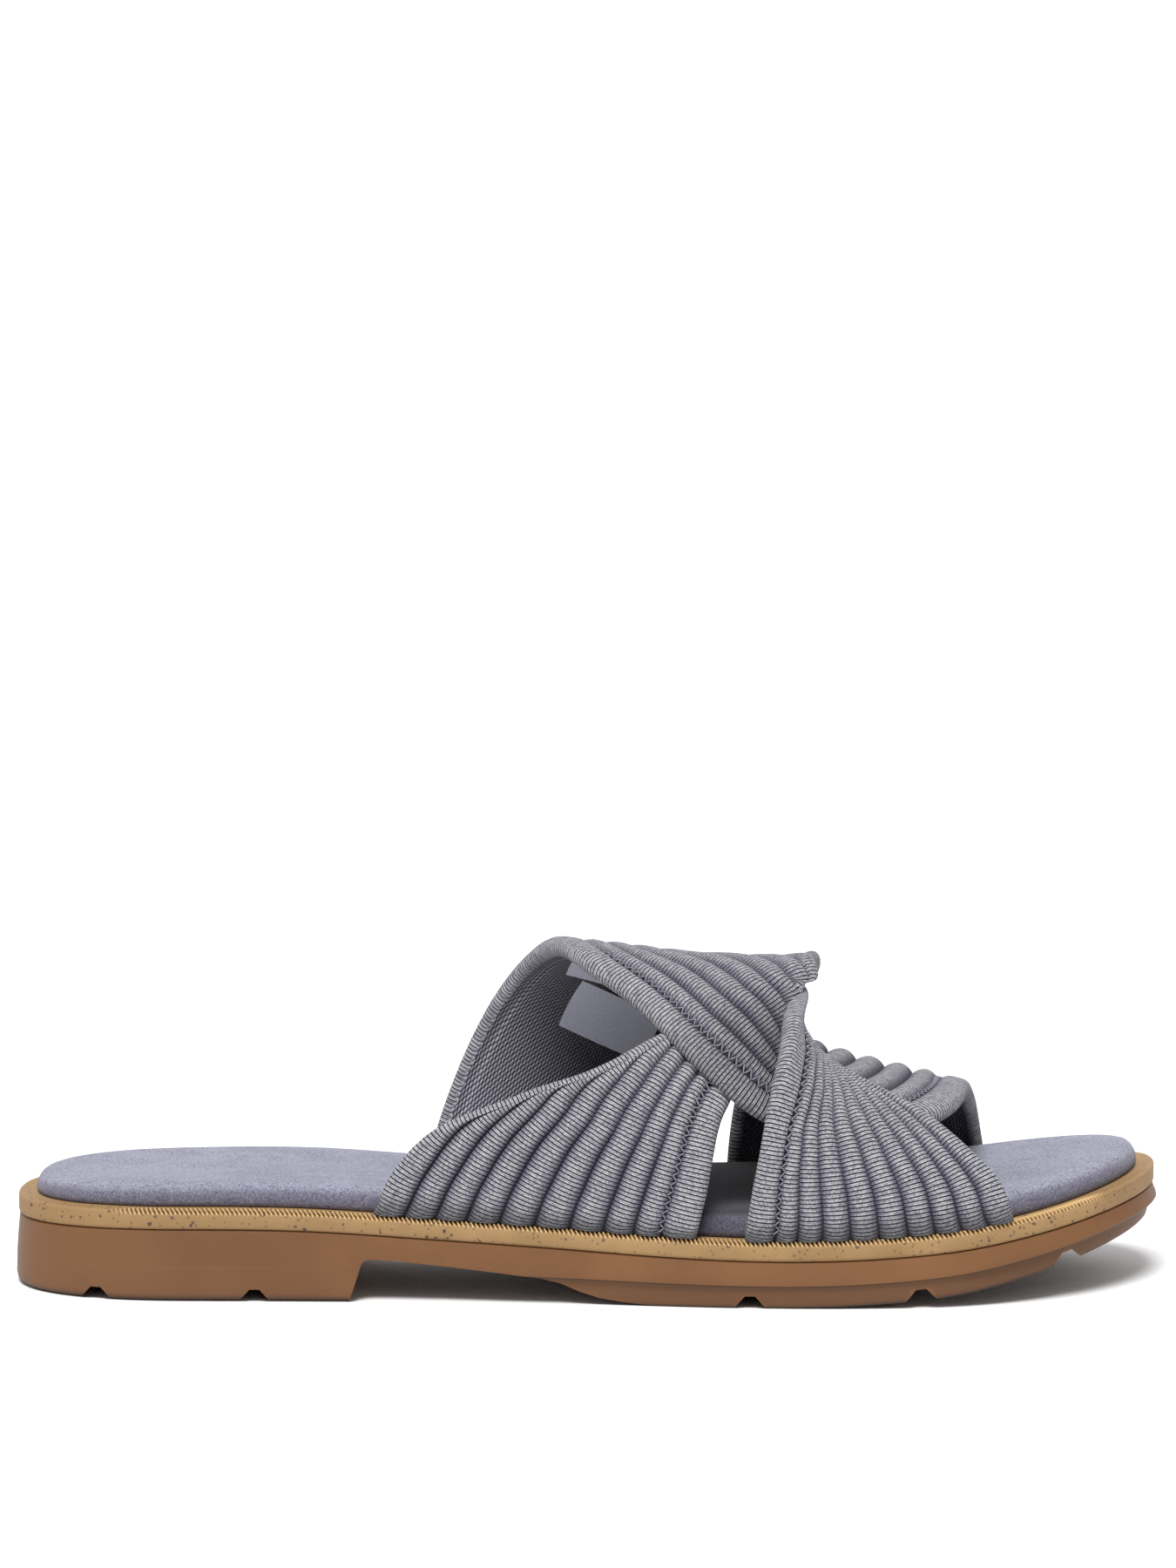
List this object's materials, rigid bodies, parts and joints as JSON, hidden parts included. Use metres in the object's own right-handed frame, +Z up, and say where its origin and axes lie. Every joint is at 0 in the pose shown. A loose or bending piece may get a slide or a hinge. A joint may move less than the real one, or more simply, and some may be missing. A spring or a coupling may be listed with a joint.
{
  "type": "slide sandal",
  "caption": "Right slide sandal: two padded, ribbed knit straps hook through each other in a twist over a cushioned footbed on a low-heeled moulded sole.",
  "frame": {"origin": "bottom centre of the bounding box, on the floor", "axes": "+X to the toe, +Y to the inner (big toe) side of the right foot, +Z up"},
  "size_m": [0.259, 0.0882, 0.0768],
  "materials": {
    "outsole": "matt tan gum rubber",
    "midsole": "speckled light tan moulded foam with a ridged top edge",
    "footbed": "lavender grey brushed microfibre",
    "upper": "padded rib knit in grey, white and navy yarn"
  },
  "bodies": {
    "root": {"outsole": "outsole", "midsole": "midsole", "footbed": "footbed", "upper": "upper"}
  },
  "joints": []
}
